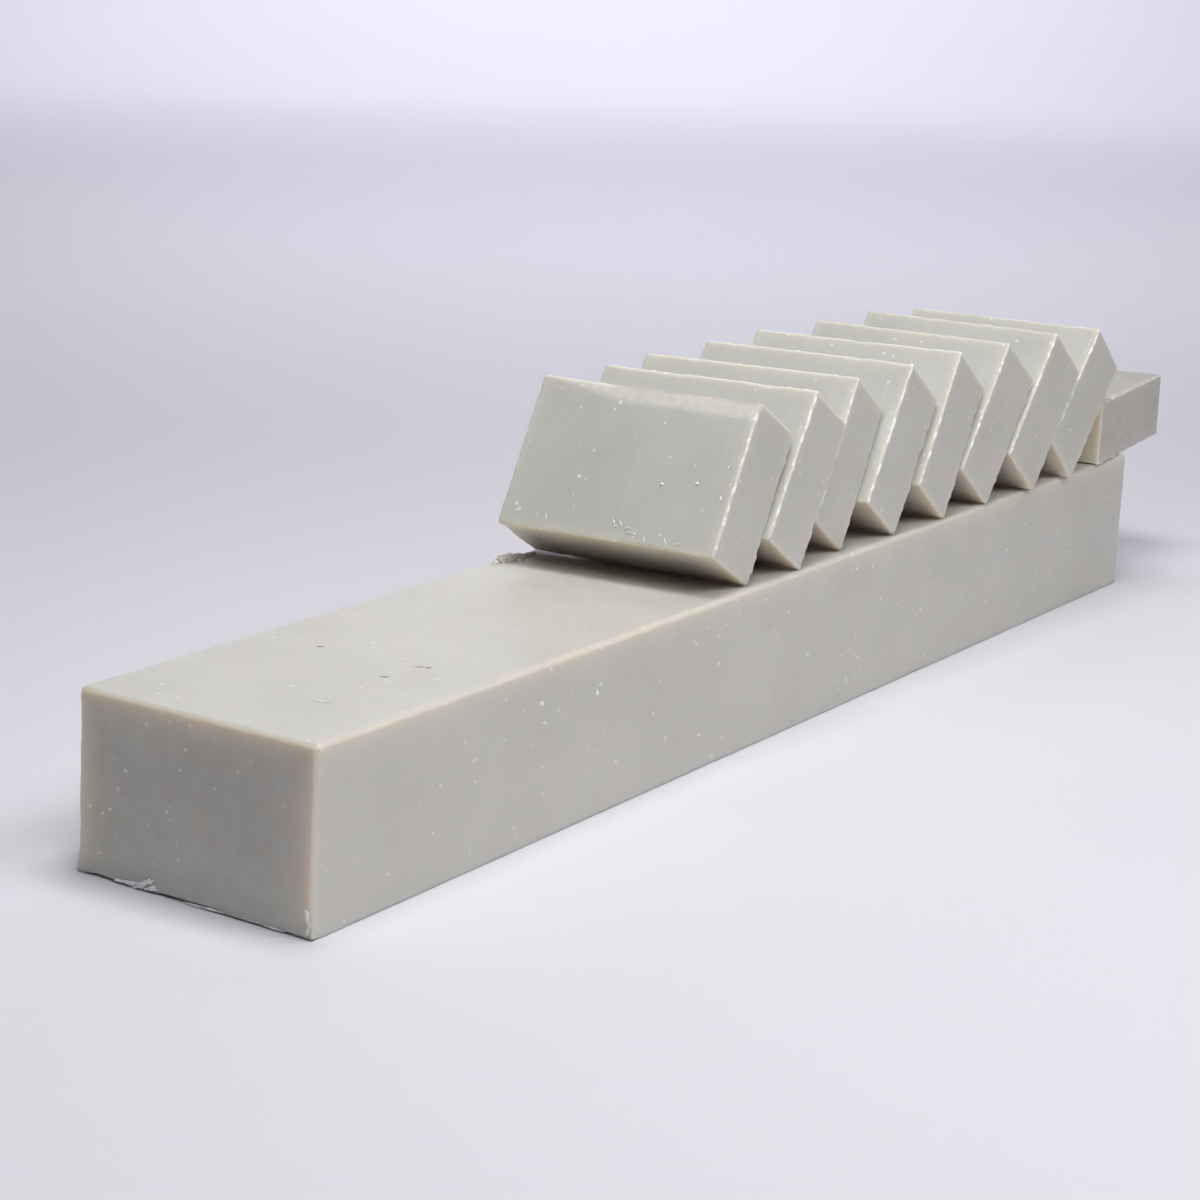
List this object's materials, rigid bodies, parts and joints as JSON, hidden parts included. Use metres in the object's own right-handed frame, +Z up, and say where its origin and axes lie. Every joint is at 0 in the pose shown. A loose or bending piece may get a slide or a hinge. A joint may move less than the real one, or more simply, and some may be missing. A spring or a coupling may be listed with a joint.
{
  "type": "clay bar",
  "caption": "Long uncut loaf of grey-green clay with a row of cut bars leaning on its top like dominoes, propped by one bar lying flat at the far end.",
  "frame": {"origin": "centre of the loaf's flat bottom face", "axes": "+X along the loaf from the near end to the end with the flat bar, the way the row leans; +Y across the loaf; +Z up"},
  "size_m": [0.591, 0.0955, 0.1161],
  "materials": {
    "clay": "waxy, slightly translucent grey-green clay, wire-cut faces with fine white specks and softly rounded paler edges"
  },
  "bodies": {
    "loaf_body": {"loaf": "clay"},
    "bar_1": {"leaning_bar_1": "clay"},
    "bar_2": {"leaning_bar_2": "clay"},
    "bar_3": {"leaning_bar_3": "clay"},
    "bar_4": {"leaning_bar_4": "clay"},
    "bar_5": {"leaning_bar_5": "clay"},
    "bar_6": {"leaning_bar_6": "clay"},
    "bar_7": {"leaning_bar_7": "clay"},
    "bar_8": {"leaning_bar_8": "clay"},
    "flat_bar": {"prop_bar": "clay"}
  },
  "joints": [
    {"name": "lift_bar_1", "type": "slide", "parent": "loaf_body", "child": "bar_1", "axis": [0.5075, 0.0089, 0.8616], "range_m": [0, 0.09]},
    {"name": "lift_bar_2", "type": "slide", "parent": "loaf_body", "child": "bar_2", "axis": [0.5446, 0.0095, 0.8387], "range_m": [0, 0.09]},
    {"name": "lift_bar_3", "type": "slide", "parent": "loaf_body", "child": "bar_3", "axis": [0.5509, 0.0337, 0.8339], "range_m": [0, 0.09]},
    {"name": "lift_bar_4", "type": "slide", "parent": "loaf_body", "child": "bar_4", "axis": [0.5661, 0.0198, 0.8241], "range_m": [0, 0.09]},
    {"name": "lift_bar_5", "type": "slide", "parent": "loaf_body", "child": "bar_5", "axis": [0.5728, 0.03, 0.8192], "range_m": [0, 0.09]},
    {"name": "lift_bar_6", "type": "slide", "parent": "loaf_body", "child": "bar_6", "axis": [0.6016, -0.0158, 0.7986], "range_m": [0, 0.09]},
    {"name": "lift_bar_7", "type": "slide", "parent": "loaf_body", "child": "bar_7", "axis": [0.6221, -0.0217, 0.7826], "range_m": [0, 0.09]},
    {"name": "lift_bar_8", "type": "slide", "parent": "loaf_body", "child": "bar_8", "axis": [0.6752, -0.0236, 0.7373], "range_m": [0, 0.09]},
    {"name": "lift_flat_bar", "type": "slide", "parent": "loaf_body", "child": "flat_bar", "axis": [0.8192, 0, 0.5736], "range_m": [0, 0.1]}
  ]
}
